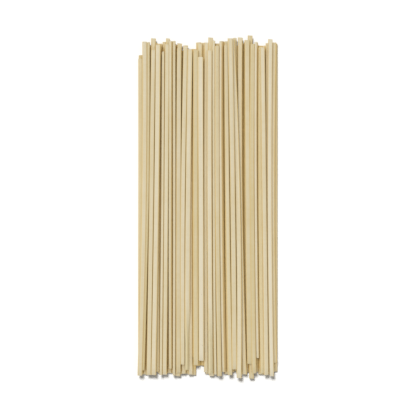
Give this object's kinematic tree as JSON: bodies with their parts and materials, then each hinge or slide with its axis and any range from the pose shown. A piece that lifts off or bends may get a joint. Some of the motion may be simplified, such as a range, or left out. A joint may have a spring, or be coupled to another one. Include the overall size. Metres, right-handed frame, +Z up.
{
  "type": "bundle of dried udon noodles",
  "caption": "Flat bundle of long straight dried udon noodles lying side by side in three layers, with ragged square-cut ends.",
  "frame": {"origin": "centre of the bundle's underside, on the surface it lies on", "axes": "+Z up, +Y along the noodles towards their heads, the end at the top of the picture; +X to the right across the bundle"},
  "size_m": [0.0995, 0.2444, 0.0085],
  "materials": {
    "dried_noodle": "matte dried dough, pale cream, faintly striped along each noodle"
  },
  "bodies": {
    "root": {"udon_noodles": "dried_noodle"}
  },
  "joints": []
}
